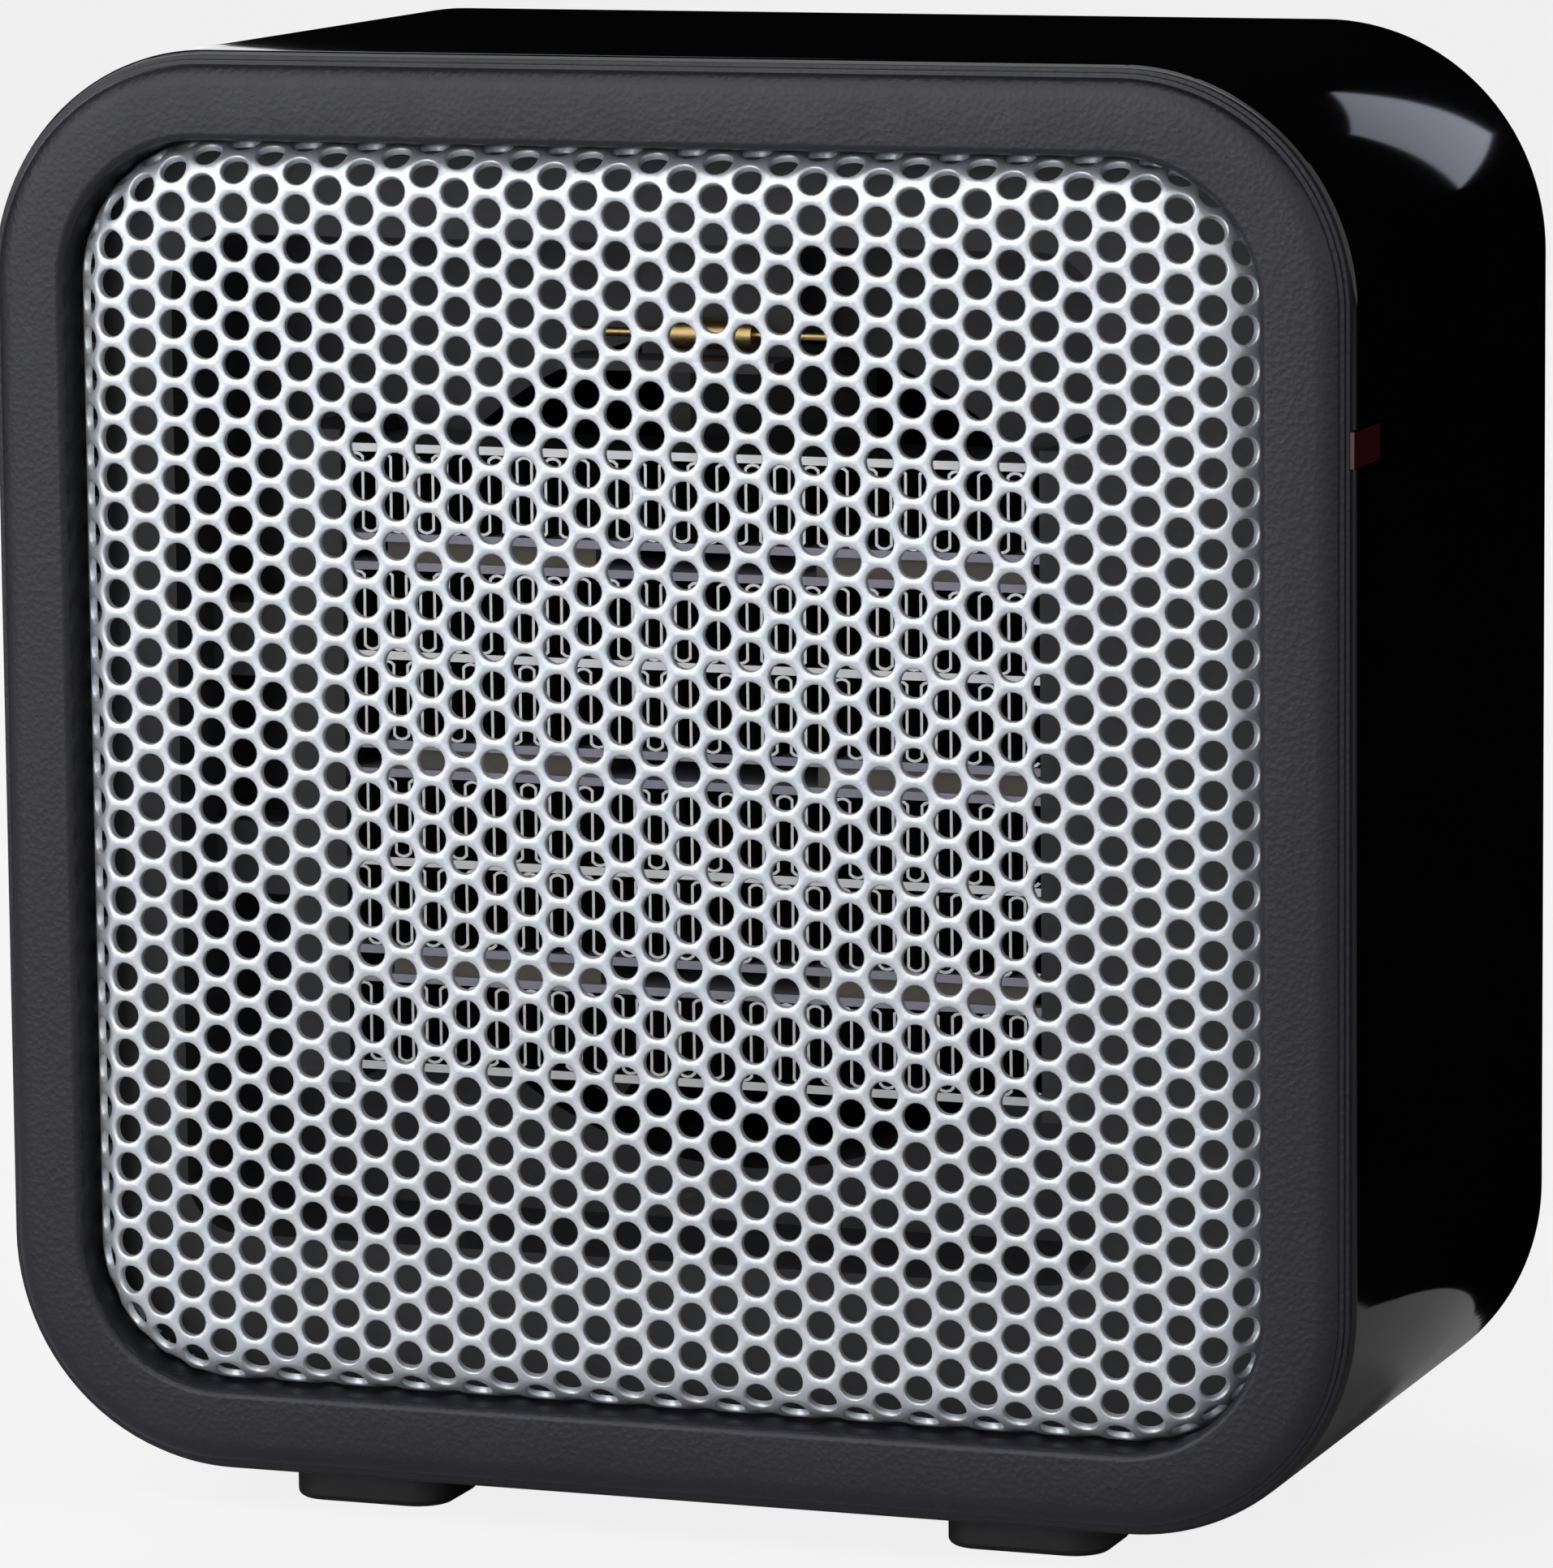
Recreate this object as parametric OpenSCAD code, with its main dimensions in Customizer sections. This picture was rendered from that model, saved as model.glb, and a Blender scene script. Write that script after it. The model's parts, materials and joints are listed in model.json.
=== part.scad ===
// Small ceramic fan heater: moulded case, perforated grille, finned ceramic
// element in an air duct, and a shaded-pole fan behind it.
// +X is to the right seen from the front, the front faces -Y, +Z is up.
// The origin is at the middle of the footprint, on the surface it stands on.

/* [Case] */
// Width of the case
body_w = 152; // [140:1:200]
// Height of the case without its feet
body_h = 154; // [140:0.2:200]
// Depth over the bezel and the rear cover
body_d = 80; // [74:1:110]
// Corner radius of the case seen from the front
corner_r = 25; // [22:1:32]
// Wall of the sleeve
wall = 2.2; // [1.8:0.1:3]
// How far the bezel stands in front of the sleeve
bezel_rise = 3.5; // [3:0.1:5]
// How far the rear cover stands behind the sleeve
cover_rise = 1.5; // [1:0.1:3]
// Gap of a moulded piece to its neighbour
fit_gap = 0.15; // [0.1:0.05:0.3]

/* [Bezel and grille] */
// Width of the bezel's rim, from the outline to the grille opening
bezel_w = 9.4; // [8:0.1:12]
// Hole pitch of the grille
hole_pitch = 4.17; // [3.6:0.01:6]
// Diameter of a grille hole
hole_d = 3.1; // [2:0.1:3.4]
// Sheet thickness of the grille
sheet_t = 0.8; // [0.5:0.1:1.2]
// Radius of the grille's rolled edge
roll_r = 5; // [4:0.5:6]
// How far the grille's face lies behind the bezel's lip
grille_set = 1; // [0.5:0.1:2]

/* [Feet] */
// Height of a foot
foot_h = 4.2; // [2:0.2:8]
// Width of a foot
foot_w = 18; // [12:1:30]
// Depth of a foot
foot_d = 14; // [10:1:20]
// Distance between the middles of the left and right feet
foot_span = 75; // [50:1:90]
// Distance of the front feet's middle behind the sleeve's front edge
foot_inset = 12; // [10:0.5:28]

/* [Duct and element] */
// Width of the duct's opening
duct_w = 104; // [98:1:108]
// Height of the duct's opening
duct_h = 109; // [100:1:110]
// Height of one row of fins
fin_h = 8.8; // [6:0.2:9]
// Pitch of the fin waves
fin_pitch = 3.25; // [2.5:0.05:5]
// Number of fin waves in a row
fin_waves = 24; // [18:1:24]
// Thickness of the fin strip
fin_t = 0.3; // [0.2:0.05:0.4]
// Depth of the element along the airflow
core_d = 14; // [8:1:16]
// Height of a heating bar with its two electrodes
bar_h = 4; // [3:0.2:5]
// Thickness of an electrode or rail
rail_t = 0.9; // [0.6:0.1:1.2]
// Length of one ceramic stone
stone_w = 24; // [15:1:30]

/* [Fan and motor] */
// Diameter of the fan
fan_d = 87; // [70:1:88]
// Diameter of the fan's hub
hub_d = 28; // [24:1:34]
// Depth of the fan along its axis
fan_depth = 12; // [10:1:14]
// Number of fan blades
blades = 5; // [4:1:7]
// Gap between the blade tips and the shroud
tip_gap = 2.5; // [1.5:0.1:3]
// Diameter of the motor shaft
shaft_d = 4; // [3:0.1:5]
// Running clearance of the shaft in a bush, on the radius
shaft_gap = 0.05; // [0.01:0.01:0.1]
// Diameter of the rotor
rotor_d = 22; // [20:0.5:24]

/* [Controls and inlet] */
// Width of the rocker button
rocker_w = 10; // [8:0.5:12]
// Length of the rocker button
rocker_l = 15.2; // [12:0.2:18]
// Height of the rocker above the middle of the case
rocker_z = 45; // [38:1:48]
// Travel of the rocker either side of level, in degrees
rocker_tilt = 10; // [6:1:12]
// Bore radius of the cord gland
gland_r = 3.6; // [2.5:0.1:4]
// Height of the cord gland below the middle of the case
gland_z = -50; // [-52:1:-44]
// Length of the tip-over pendulum, pivot to bob
bob_drop = 13; // [10:0.5:14]
// Radius of the pendulum's bob
bob_r = 3.2; // [2.5:0.1:3.5]
// Height of the indicator window
lens_h = 3.8; // [3:0.1:6]
// Depth of the indicator window along the side
lens_d = 8.5; // [6:0.5:10]
// Height of the indicator window above the middle of the case
lens_z = 38; // [20:1:45]

/* [Hidden] */
$fn = 48;

// Levels along the depth, front to rear
lip_y = -body_d / 2;
front_y = lip_y + bezel_rise;
back_y = body_d / 2;
rear_y = back_y - cover_rise;
mid_z = foot_h + body_h / 2;
grille_y = lip_y + grille_set;
bezel_spigot = 9;
bezel_spigot_y = front_y + bezel_spigot;
seat_y = front_y + 4;
flange_y = seat_y + sheet_t;
flange_t = 2;
element_y = flange_y + 6.7;
element_back_y = element_y + core_d;
shroud_y = element_back_y + 2;
shroud_t = 2;
fan_y = shroud_y + shroud_t + 2;
fan_back_y = fan_y + fan_depth;
bracket_y = fan_back_y + 2.5;
bracket_t = 1.5;
motor_y = bracket_y + 4.5;
motor_t = 14;
motor_back_y = motor_y + motor_t;
bracket_back_y = motor_back_y + 3;
cover_face_y = rear_y - 0.7;
cover_spigot_y = rear_y - 8.5;

// Insets from the outline
wall_gap = wall + fit_gap;
spigot_t = 2.05;
inner_inset = wall_gap + spigot_t;
flange_inset = inner_inset + 2 * fit_gap;
grille_inset = bezel_w + 2 * fit_gap;

// Case screws in the four corners
boss_r = 3.2;
tower_r = 3.6;
boss_at = (corner_r - inner_inset - 1.6) / sqrt(2);
boss_x = body_w / 2 - corner_r + boss_at;
boss_z = body_h / 2 - corner_r + boss_at;
boss_end_y = fan_y;
screw_r = 1.45;
screw_fit = 0.05;
clear_r = 1.7;
head_r = 2.6;
head_t = 2;
tower_floor = 4;
screw_reach = 12;

// Duct, element and fan
duct_x = -5.5;
duct_z = 2.5;
duct_wall = 2;
duct_r = 6;
axis_x = -1;
fins_w = fin_pitch * fin_waves;
core_w = fins_w + 1;
rail_seat = 0.02;
row_pitch = fin_h * 2 + bar_h + rail_t;
core_h = 3 * row_pitch + rail_t;
ring_r = fan_d / 2 + tip_gap;
ring_t = 1.5;
pillar_x = 40;
pillar_z = body_h / 2 - 10.2;
pillar_r = 3;
motor_screw_x = 19;

// Switch channel at the right
channel_x = 60;
lens_top = body_w / 2 - 0.05;

// ---- shared shapes ----

// A rectangle with round corners, about its middle
module rounded(w, h, r) {
    square([w - 2 * r, h], center = true);
    square([w, h - 2 * r], center = true);
    for (x = [-1, 1], z = [-1, 1]) translate([x * (w / 2 - r), z * (h / 2 - r)]) circle(r);
}

// The case outline, taken in by an inset
module outline(inset) {
    rounded(body_w - 2 * inset, body_h - 2 * inset, corner_r - inset);
}

// A flat shape in the front view, given a depth from y0 to y1
module slab(y0, y1) {
    translate([0, y1, mid_z]) rotate([90, 0, 0]) linear_extrude(y1 - y0) children();
}

// A round bar along the depth
module rod(x, z, r, y0, y1) {
    translate([x, y1, mid_z + z]) rotate([90, 0, 0]) cylinder(r = r, h = y1 - y0);
}

// A block from its limits, with z counted from the middle of the case
module block(x0, x1, y0, y1, z0, z1) {
    translate([x0, y0, mid_z + z0]) cube([x1 - x0, y1 - y0, z1 - z0]);
}

// A section swept round the outline: its x is counted out from the corner
// centres, so the outline itself is at x = corner_r, and its y is the depth
module around() {
    translate([0, 0, mid_z]) for (k = [0 : 3]) {
        out = (k % 2 == 0 ? body_w : body_h) / 2 - corner_r;
        run = (k % 2 == 0 ? body_h : body_w) - 2 * corner_r;
        rotate([0, 90 * k, 0]) {
            translate([out, 0, 0]) linear_extrude(run, center = true) children();
            translate([out, 0, -run / 2]) rotate([-90, 0, 0])
                rotate_extrude(angle = 90) children();
        }
    }
}

module at_corners() {
    for (x = [-1, 1], z = [-1, 1]) translate([x * boss_x, z * boss_z]) children();
}

module screw_y(x, z, y_head, y_tip) {
    rod(x, z, screw_r, y_tip, y_head);
    difference() {
        rod(x, z, head_r, y_head, y_head + head_t);
        block(x - 0.4, x + 0.4, y_head + 1, y_head + head_t + 1, z - 1.6, z + 1.6);
        block(x - 1.6, x + 1.6, y_head + 1, y_head + head_t + 1, z - 0.4, z + 0.4);
    }
}

// ---- case ----

module outer_sleeve() {
    color("#0a0a0d") difference() {
        slab(front_y, rear_y) difference() {
            outline(0);
            outline(wall);
        }
        block(body_w / 2 - wall - 1, body_w / 2 + 1, front_y - 1, front_y + lens_d + fit_gap,
            lens_z - lens_h / 2 - fit_gap, lens_z + lens_h / 2 + fit_gap);
        for (x = [-1, 1], y = [foot_y(0), foot_y(1)])
            translate([x * foot_span / 2, y, foot_h - 1]) cylinder(r = peg_r + 0.05, h = wall + 2);
    }
}

// The bezel's section: rim, shadow groove, rounded flank, flat band, lip and
// the wall the grille seats on, with a spigot that enters the sleeve
module bezel_section() {
    flank_u = 4.2;
    flank_t = bezel_rise - 0.4;
    lip_r = 0.8;
    skin = 1.8;
    at = function(u, t) [corner_r - u, front_y - t];
    polygon([
        at(0.5, 0), at(0.5, 1), at(0.9, 1), at(0.9, 1.6), at(1.4, 1.6),
        for (a = [0 : 10 : 90])
            at(flank_u - 2.8 * cos(a), 1.75 + (flank_t - 1.75) * sin(a)),
        for (a = [0 : 15 : 90])
            at(bezel_w - lip_r + lip_r * sin(a), bezel_rise - lip_r + lip_r * cos(a)),
        at(bezel_w, front_y - seat_y), at(bezel_w - 2, front_y - seat_y),
        at(bezel_w - 2, bezel_rise - skin), at(inner_inset, bezel_rise - skin),
        at(inner_inset, -bezel_spigot), at(wall_gap, -bezel_spigot), at(wall_gap, 0)]);
}

module front_bezel() {
    color("#26272b") difference() {
        union() {
            around() bezel_section();
            slab(lip_y + 1.5, boss_end_y) at_corners() circle(boss_r);
        }
        slab(boss_end_y - screw_reach, boss_end_y + 1) at_corners() circle(screw_r + screw_fit);
        block(body_w / 2 - inner_inset - 1, body_w / 2 + 1, front_y - 1, bezel_spigot_y + 1,
            lens_z - lens_h / 2 - fit_gap, lens_z + lens_h / 2 + fit_gap);
    }
}

slot_w = 3.2;
slot_pitch = 5.4;
slot_l = 32;
slot_gap = 4;
module air_slots() {
    for (row = [-1 : 1], i = [-9 : 9]) translate([axis_x + i * slot_pitch, row * (slot_l + slot_gap)]) {
        square([slot_w, slot_l - slot_w], center = true);
        for (s = [-1, 1]) translate([0, s * (slot_l - slot_w) / 2]) circle(slot_w / 2, $fn = 20);
    }
}

well_w = 17.2;
well_h = 23.2;
well_wall = 1.4;
well_floor_y = rear_y - 2.5;
well_back_y = well_floor_y - 2;
button_pivot_y = well_floor_y - 3;
rocker_body_w = 12.8;
rocker_body_h = 19;

module rear_cover() {
    color("#101014") difference() {
        union() {
            slab(rear_y, back_y) difference() {
                outline(0.6);
                translate([axis_x, 0]) difference() {
                    translate([-axis_x, 0]) air_slots();
                    circle(5);
                }
                translate([channel_x, rocker_z]) square([well_w, well_h], center = true);
            }
            slab(cover_face_y, rear_y) difference() {
                outline(wall_gap);
                translate([axis_x, 0]) difference() {
                    translate([-axis_x, 0]) air_slots();
                    circle(5);
                }
                translate([channel_x, rocker_z]) square([well_w, well_h], center = true);
            }
            slab(cover_spigot_y, cover_face_y) difference() {
                outline(wall_gap);
                outline(inner_inset);
            }
            slab(boss_end_y, cover_face_y) at_corners() circle(tower_r);
            for (x = [-1, 1], z = [-1, 1])
                rod(x * pillar_x, z * pillar_z, pillar_r, shroud_y + shroud_t, cover_face_y);
            for (s = [-1, 1])
                rod(axis_x + s * motor_screw_x, 0, 4, bracket_back_y + bracket_t, cover_face_y + 0.5);
            translate([channel_x, 0]) slab(well_back_y, cover_face_y) translate([0, rocker_z])
                square([well_w + 2 * well_wall, well_h + 2 * well_wall], center = true);
            intersection() {
                block(channel_x - 10, channel_x + 10, clamp_y - 4, cover_face_y,
                    shelf_z - shelf_t, shelf_z);
                slab(clamp_y - 4, cover_face_y) outline(inner_inset);
            }
        }
        rod(channel_x, gland_z, gland_neck_r + gland_rim + fit_gap, cover_face_y - 7.5, cover_face_y);
        slab(boss_end_y + tower_floor, back_y + 1) at_corners() circle(head_r + 0.2);
        slab(boss_end_y - 1, back_y) at_corners() circle(clear_r);
        for (s = [-1, 1])
            rod(axis_x + s * motor_screw_x, 0, screw_r + screw_fit, bracket_back_y, cover_face_y - 0.5);
        translate([channel_x, 0]) slab(well_floor_y, back_y + 1) translate([0, rocker_z])
            square([well_w, well_h], center = true);
        translate([channel_x, 0]) slab(well_back_y - 1, well_floor_y + 1) translate([0, rocker_z])
            square([rocker_body_w + 2 * fit_gap, rocker_body_h + 2 * fit_gap], center = true);
        rod(channel_x, gland_z, gland_neck_r + fit_gap, cover_face_y - 1, back_y + 1);
        for (s = [-1, 1]) translate([channel_x + s * clamp_screw_x, clamp_y, mid_z + shelf_z - 5])
            cylinder(r = screw_r + screw_fit, h = 6);
    }
}

// A fine black screen against the slots' inner side
screen_t = 0.8;
module dust_screen() {
    field_w = 19 * slot_pitch + 2;
    field_h = 3 * slot_l + 2 * slot_gap + 4;
    color("#0b0b0d") slab(cover_face_y - screen_t, cover_face_y) difference() {
        translate([axis_x - 1, 0]) rounded(field_w, field_h, 3);
        for (s = [-1, 1]) translate([axis_x + s * motor_screw_x, 0]) circle(4 + fit_gap);
        translate([channel_x, rocker_z])
            square([well_w + 2 * well_wall + 2 * fit_gap, well_h + 2 * well_wall + 2 * fit_gap], center = true);
        translate([channel_x, gland_z]) circle(gland_neck_r + gland_rim + 3);
        translate([channel_x, gland_z - 8]) square([22, 20], center = true);
    }
}

module case_screws() {
    color("silver") for (x = [-1, 1], z = [-1, 1])
        screw_y(x * boss_x, z * boss_z, boss_end_y + tower_floor, boss_end_y - screw_reach + 1);
}

peg_r = 2;
function foot_y(rear) = rear == 1 ? rear_y - foot_inset : front_y + foot_inset;

module foot(side, rear) {
    x = side * foot_span / 2;
    y = foot_y(rear);
    color("#131316") {
        translate([x, y, 0]) linear_extrude(foot_h) rounded(foot_w, foot_d, 4);
        translate([x, y, foot_h - 0.5]) cylinder(r = peg_r, h = wall + 0.7);
        translate([x, y, foot_h + wall + 0.05]) cylinder(r = peg_r + 0.5, h = 1.2);
    }
}
module foot_front_left() { foot(-1, 0); }
module foot_front_right() { foot(1, 0); }
module foot_rear_left() { foot(-1, 1); }
module foot_rear_right() { foot(1, 1); }

// ---- grille ----

hole_cols = floor((body_w / 2 - grille_inset - roll_r - hole_d / 2) / (hole_pitch * sqrt(3) / 2));
hole_rows = floor((body_h / 2 - grille_inset - roll_r - hole_d / 2) / hole_pitch);
face_x = body_w / 2 - grille_inset - roll_r;
face_z = body_h / 2 - grille_inset - roll_r;
face_r = corner_r - grille_inset - roll_r;
// True where a hole keeps its full rim inside the flat face
function on_face(x, z) =
    let (dx = abs(x) - (face_x - face_r), dz = abs(z) - (face_z - face_r))
    dx > 0 && dz > 0 ? norm([dx, dz]) < face_r - hole_d / 2 : true;

module grille_holes() {
    for (i = [-hole_cols : hole_cols], j = [-hole_rows : hole_rows]) {
        x = i * hole_pitch * sqrt(3) / 2;
        z = (j + (i % 2 == 0 ? 0 : 0.5)) * hole_pitch;
        if (abs(z) < face_z - hole_d / 2 && on_face(x, z)) translate([x, z]) circle(hole_d / 2, $fn = 16);
    }
}

module grille_section() {
    r_out = corner_r - grille_inset;
    r_flat = r_out - roll_r;
    polygon([
        [r_flat - 0.3, grille_y + sheet_t], [r_flat - 0.3, grille_y],
        for (a = [0 : 10 : 90]) [r_flat + roll_r * sin(a), grille_y + roll_r * (1 - cos(a))],
        [r_out, seat_y], [corner_r - flange_inset, seat_y], [corner_r - flange_inset, flange_y],
        [r_out - sheet_t, flange_y],
        for (a = [90 : -10 : 0]) [r_flat + (roll_r - sheet_t) * sin(a),
            grille_y + sheet_t + (roll_r - sheet_t) * (1 - cos(a))]]);
}

module front_grille() {
    color("#c8cbd2") union() {
        slab(grille_y, grille_y + sheet_t) difference() {
            rounded(2 * face_x, 2 * face_z, face_r);
            grille_holes();
        }
        difference() {
            around() grille_section();
            slab(seat_y - 1, flange_y + 1) at_corners() circle(boss_r + 2 * fit_gap);
        }
    }
}

// ---- duct and shroud ----

module air_duct() {
    color("#3a3a40") {
        slab(flange_y, flange_y + flange_t) difference() {
            outline(flange_inset);
            translate([duct_x, duct_z]) rounded(duct_w, duct_h, duct_r);
            at_corners() circle(boss_r + 2 * fit_gap);
        }
        difference() {
            translate([duct_x, 0]) slab(flange_y + flange_t, shroud_y) translate([0, duct_z]) difference() {
                rounded(duct_w + 2 * duct_wall, duct_h + 2 * duct_wall, duct_r + duct_wall);
                rounded(duct_w, duct_h, duct_r);
            }
            for (z = lug_z) translate([0, element_y + core_d / 2, mid_z + z]) rotate([0, 90, 0])
                cylinder(r = clear_r, h = 2 * body_w, center = true);
            for (z = terminal_z) block(core_right, body_w / 2, terminal_y - 0.2,
                terminal_y + terminal_w + 0.2, z - 0.3, z + rail_t + 0.3);
        }
    }
}

module fan_shroud() {
    color("#2c2c31") difference() {
        union() {
            slab(shroud_y, shroud_y + shroud_t) outline(flange_inset);
            rod(axis_x, 0, ring_r + ring_t, shroud_y + 1, fan_back_y);
        }
        rod(axis_x, 0, ring_r, shroud_y - 1, fan_back_y + 1);
        slab(shroud_y - 1, shroud_y + shroud_t + 1) {
            at_corners() circle(boss_r + 2 * fit_gap);
            translate([channel_x, 8]) rounded(14, 26, 3);
        }
    }
}

// ---- heating element ----

core_left = axis_x - core_w / 2;
core_right = axis_x + core_w / 2;
// Bottom of row k (1 at the top); two fin rows share each heating bar
function row_z(k) = core_h / 2 - rail_t - fin_h - floor((k - 1) / 2) * row_pitch
    - ((k - 1) % 2) * (fin_h + bar_h);
function bar_z(k) = core_h / 2 - rail_t - fin_h - bar_h - (k - 1) * row_pitch;
terminal_z = [for (k = [1 : 3]) bar_z(k) + bar_h - rail_t];
terminal_y = element_y + 4;
terminal_w = 6.3;
end_t = 6;
lug_z = [-12, 12];

// One wave strip, bent from flat stock: legs joined by rounded crests
module fin_row(k) {
    h = fin_h - 2 * rail_seat;
    leg = fin_pitch / 2;
    lean = 0.18;
    bend = (leg - fin_t) / 2;
    wave = function(off) [for (i = [0 : 2 * fin_waves - 1], a = [-60 : 30 : 60])
        let (up = i % 2 == 0, r = bend + (up ? off : fin_t - off), s = up ? 1 : -1)
        [(i + 0.5) * leg + (r * (1 + lean)) * sin(a), s * (h / 2 - bend - fin_t + r * cos(a))]];
    translate([axis_x - fins_w / 2, element_back_y, mid_z + row_z(k) + fin_h / 2]) rotate([90, 0, 0])
        linear_extrude(core_d) color("#e4e6ea") {
            lower = wave(0);
            upper = wave(fin_t);
            n = len(lower);
            polygon(concat(lower, [for (i = [n - 1 : -1 : 0]) upper[i]]));
        }
}
module fin_row_1() { fin_row(1); }
module fin_row_2() { fin_row(2); }
module fin_row_3() { fin_row(3); }
module fin_row_4() { fin_row(4); }
module fin_row_5() { fin_row(5); }
module fin_row_6() { fin_row(6); }

// Two ceramic stones side by side between the electrodes of bar k
module ceramic_stones(k) {
    color("#7c766c") for (x = [-24, 25])
        block(axis_x + x + 1 - stone_w / 2, axis_x + x + 1 + stone_w / 2, element_y + 1, element_back_y - 1,
            bar_z(k) + rail_t, bar_z(k) + bar_h - rail_t);
}
module ceramic_stones_top() { ceramic_stones(1); }
module ceramic_stones_middle() { ceramic_stones(2); }
module ceramic_stones_bottom() { ceramic_stones(3); }

module electrode_strips() {
    color("#9a9ba6") for (k = [1 : 3], z = [0, bar_h - rail_t])
        block(core_left, core_right, element_y, element_back_y, bar_z(k) + z, bar_z(k) + z + rail_t);
}

module spacer_rails() {
    color("#d8dadf") for (k = [0 : 3])
        block(core_left, core_right, element_y, element_back_y,
            core_h / 2 - rail_t - k * row_pitch, core_h / 2 - k * row_pitch);
}

// A moulded end piece, with two lugs that reach the duct's side wall
module element_end(inner_x, wall_x) {
    side = sign(wall_x - inner_x);
    outer_x = inner_x + side * end_t;
    color("#1b1b1f") difference() {
        union() {
            block(min(inner_x, outer_x), max(inner_x, outer_x), element_y - 1, element_back_y + 1,
                -core_h / 2 - 1.5, core_h / 2 + 1.5);
            for (z = lug_z) block(min(outer_x, wall_x), max(outer_x, wall_x),
                element_y + core_d / 2 - 4, element_y + core_d / 2 + 4, z - 4, z + 4);
        }
        for (z = lug_z) translate([wall_x, element_y + core_d / 2, mid_z + z])
            rotate([0, -side * 90, 0]) translate([0, 0, -1]) cylinder(r = screw_r + screw_fit, h = 8);
        if (side > 0) for (z = terminal_z) block(inner_x - 1, outer_x + 1, terminal_y - 0.1,
            terminal_y + terminal_w + 0.1, z - 0.1, z + rail_t + 0.1);
    }
}
module element_end_left() { element_end(core_left, duct_x - duct_w / 2); }
module element_end_right() { element_end(core_right, duct_x + duct_w / 2); }

module element_terminals() {
    color("#c9cbd0") for (z = terminal_z) difference() {
        block(core_right, duct_x + duct_w / 2 + duct_wall + 7, terminal_y, terminal_y + terminal_w,
            z, z + 0.8);
        translate([duct_x + duct_w / 2 + duct_wall + 4.5, terminal_y + terminal_w / 2, mid_z + z - 1])
            cylinder(r = 0.9, h = 3);
    }
}

module element_screws() {
    color("silver") for (side = [-1, 1], z = lug_z)
        translate([duct_x + side * (duct_w / 2 + duct_wall), element_y + core_d / 2, mid_z + z])
            rotate([0, side * 90, 0]) difference() {
                union() {
                    translate([0, 0, -8]) cylinder(r = screw_r, h = 8);
                    cylinder(r = head_r, h = 1.6);
                }
                translate([-0.4, -1.6, 0.8]) cube([0.8, 3.2, 2]);
                translate([-1.6, -0.4, 0.8]) cube([3.2, 0.8, 2]);
            }
}

// ---- safety cut-outs above the element ----

duct_top = duct_z + duct_h / 2;
cut_z = core_h / 2 + 10;
module thermostat_bracket() {
    color("#b9bcc2") {
        block(-8, 9, element_y + 5, element_y + 6, cut_z, duct_top);
        block(-15, 9.5, element_y - 2, element_y + 6, cut_z - 1.2, cut_z);
    }
}
module thermostat() {
    color("#b8a98c") {
        rod(0.5, cut_z + 6, 6.4, element_y + 6, element_back_y - 2);
        for (x = [-4, 4]) block(x - 1.5, x + 1.5, element_back_y - 2, element_back_y + 1,
            cut_z + 5.6, cut_z + 6.4);
    }
}
module thermal_fuse() {
    z = mid_z + cut_z + 2.4;
    color("#b08d4a") translate([0.5, element_y + 5 - 1.6, z]) rotate([0, 90, 0]) {
        cylinder(r = 1.6, h = 10, center = true);
        cylinder(r = 0.5, h = 30, center = true);
    }
}

// ---- fan and motor ----

module fan_blade() {
    blade_t = 1.6;
    pitch_angle = 32;
    color("#1a1a1d") difference() {
        union() {
            rod(axis_x, 0, hub_d / 2, fan_y, fan_back_y);
            intersection() {
                rod(axis_x, 0, fan_d / 2, fan_y + 0.5, fan_back_y - 0.5);
                translate([axis_x, fan_y + fan_depth / 2, mid_z]) for (i = [0 : blades - 1])
                    rotate([0, i * 360 / blades, 0]) rotate([0, 0, pitch_angle])
                        translate([-13, -blade_t / 2, hub_d / 2 - 3]) cube([26, blade_t, fan_d / 2]);
            }
        }
        rod(axis_x, 0, shaft_d / 2 + 0.02, fan_y + 2, fan_back_y + 1);
        difference() {
            rod(axis_x, 0, hub_d / 2 - 2, fan_back_y - 4, fan_back_y + 1);
            rod(axis_x, 0, 5, fan_back_y - 5, fan_back_y + 2);
        }
    }
}

module motor_shaft() {
    color("silver") rod(axis_x, 0, shaft_d / 2, fan_y + 2.1, bracket_back_y + 2);
}

module rotor_core() {
    color("#70737a") difference() {
        rod(axis_x, 0, rotor_d / 2, motor_y, motor_back_y);
        rod(axis_x, 0, shaft_d / 2 + 0.02, motor_y - 1, motor_back_y + 1);
    }
}

air_gap = 0.6;
core_leg = 8;
module motor_core() {
    color("#5e6168") translate([axis_x, 0, 0]) slab(motor_y, motor_back_y) difference() {
        translate([0, -10]) square([48, 52], center = true);
        circle(rotor_d / 2 + air_gap);
        translate([0, -22]) square([28, 12], center = true);
        for (s = [-1, 1]) translate([s * motor_screw_x, 0]) circle(clear_r);
    }
}

module motor_coil() {
    coil_t = 4;
    color("#b4702e") translate([axis_x, 0, 0]) difference() {
        block(-12.5, 12.5, motor_y - coil_t, motor_back_y + coil_t, -36 - coil_t, -28 + coil_t);
        block(-13, 13, motor_y - 0.1, motor_back_y + 0.1, -36.1, -27.9);
    }
}

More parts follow.
